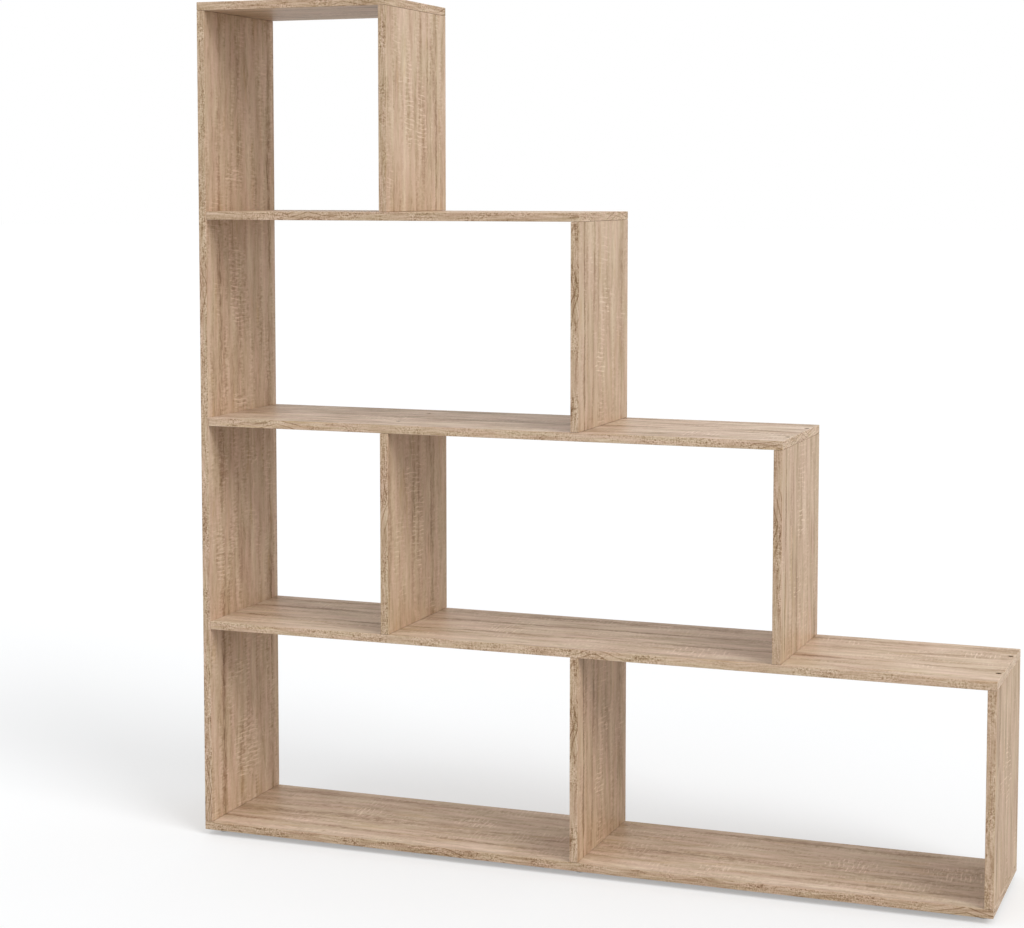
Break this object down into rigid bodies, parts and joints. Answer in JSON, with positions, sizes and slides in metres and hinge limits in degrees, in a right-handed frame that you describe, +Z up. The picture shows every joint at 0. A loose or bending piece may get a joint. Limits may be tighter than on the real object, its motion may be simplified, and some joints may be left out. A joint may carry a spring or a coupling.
{
  "type": "stepped shelving unit",
  "caption": "Stair-stepped open bookcase and room divider with tiers that step down to one side, made of wood-faced boards screwed together.",
  "frame": {"origin": "on the floor, under the middle of the unit's bounding box", "axes": "+X along the width towards the low end, +Y from the front to the back, +Z up"},
  "size_m": [1.52, 0.29, 1.611],
  "materials": {
    "oak_decor_board": "light sawn-oak decor on particleboard, satin, edges banded in the same decor",
    "bronzed_steel": "dark bronze-coloured plating, satin",
    "zinc_plated_steel": "dull zinc plate, on the glides' nails",
    "beech_dowel": "raw turned beech",
    "white_plastic_glide": "off-white moulded plastic"
  },
  "bodies": {
    "root": {"bottom_panel": "oak_decor_board", "shelf_over_tier_1": "oak_decor_board", "shelf_over_tier_2": "oak_decor_board", "shelf_over_tier_3": "oak_decor_board", "top_panel": "oak_decor_board", "left_side_panel": "oak_decor_board", "end_panel_tier_1": "oak_decor_board", "end_panel_tier_2": "oak_decor_board", "end_panel_tier_3": "oak_decor_board", "end_panel_tier_4": "oak_decor_board", "divider_tier_1": "oak_decor_board", "divider_tier_2": "oak_decor_board", "screw_bottom_panel_to_divider_tier_1_front": "bronzed_steel", "screw_bottom_panel_to_divider_tier_1_rear": "bronzed_steel", "screw_bottom_panel_to_end_panel_tier_1_front": "bronzed_steel", "screw_bottom_panel_to_end_panel_tier_1_rear": "bronzed_steel", "screw_bottom_panel_to_left_side_front": "bronzed_steel", "screw_bottom_panel_to_left_side_rear": "bronzed_steel", "screw_left_side_to_shelf_over_tier_1_front": "bronzed_steel", "screw_left_side_to_shelf_over_tier_1_rear": "bronzed_steel", "screw_left_side_to_shelf_over_tier_2_front": "bronzed_steel", "screw_left_side_to_shelf_over_tier_2_rear": "bronzed_steel", "screw_left_side_to_shelf_over_tier_3_front": "bronzed_steel", "screw_left_side_to_shelf_over_tier_3_rear": "bronzed_steel", "screw_shelf_over_tier_1_to_divider_tier_2_front": "bronzed_steel", "screw_shelf_over_tier_1_to_divider_tier_2_rear": "bronzed_steel", "screw_shelf_over_tier_1_to_end_panel_tier_1_front": "bronzed_steel", "screw_shelf_over_tier_1_to_end_panel_tier_1_rear": "bronzed_steel", "screw_shelf_over_tier_1_to_end_panel_tier_2_front": "bronzed_steel", "screw_shelf_over_tier_1_to_end_panel_tier_2_rear": "bronzed_steel", "screw_shelf_over_tier_2_to_divider_tier_2_front": "bronzed_steel", "screw_shelf_over_tier_2_to_divider_tier_2_rear": "bronzed_steel", "screw_shelf_over_tier_2_to_end_panel_tier_2_front": "bronzed_steel", "screw_shelf_over_tier_2_to_end_panel_tier_2_rear": "bronzed_steel", "screw_shelf_over_tier_2_to_end_panel_tier_3_front": "bronzed_steel", "screw_shelf_over_tier_2_to_end_panel_tier_3_rear": "bronzed_steel", "screw_shelf_over_tier_3_to_end_panel_tier_3_front": "bronzed_steel", "screw_shelf_over_tier_3_to_end_panel_tier_3_rear": "bronzed_steel", "screw_shelf_over_tier_3_to_end_panel_tier_4_front": "bronzed_steel", "screw_shelf_over_tier_3_to_end_panel_tier_4_rear": "bronzed_steel", "screw_top_panel_to_end_panel_tier_4_front": "bronzed_steel", "screw_top_panel_to_end_panel_tier_4_rear": "bronzed_steel", "screw_top_panel_to_left_side_front": "bronzed_steel", "screw_top_panel_to_left_side_rear": "bronzed_steel", "dowel_shelf_over_tier_1_to_divider_tier_1_front": "beech_dowel", "dowel_shelf_over_tier_1_to_divider_tier_1_rear": "beech_dowel", "glide_left_front": "white_plastic_glide", "glide_left_rear": "white_plastic_glide", "glide_middle_front": "white_plastic_glide", "glide_middle_rear": "white_plastic_glide", "glide_right_front": "white_plastic_glide", "glide_right_rear": "white_plastic_glide", "glide_nail_left_front": "zinc_plated_steel", "glide_nail_left_rear": "zinc_plated_steel", "glide_nail_middle_front": "zinc_plated_steel", "glide_nail_middle_rear": "zinc_plated_steel", "glide_nail_right_front": "zinc_plated_steel", "glide_nail_right_rear": "zinc_plated_steel"}
  },
  "joints": []
}
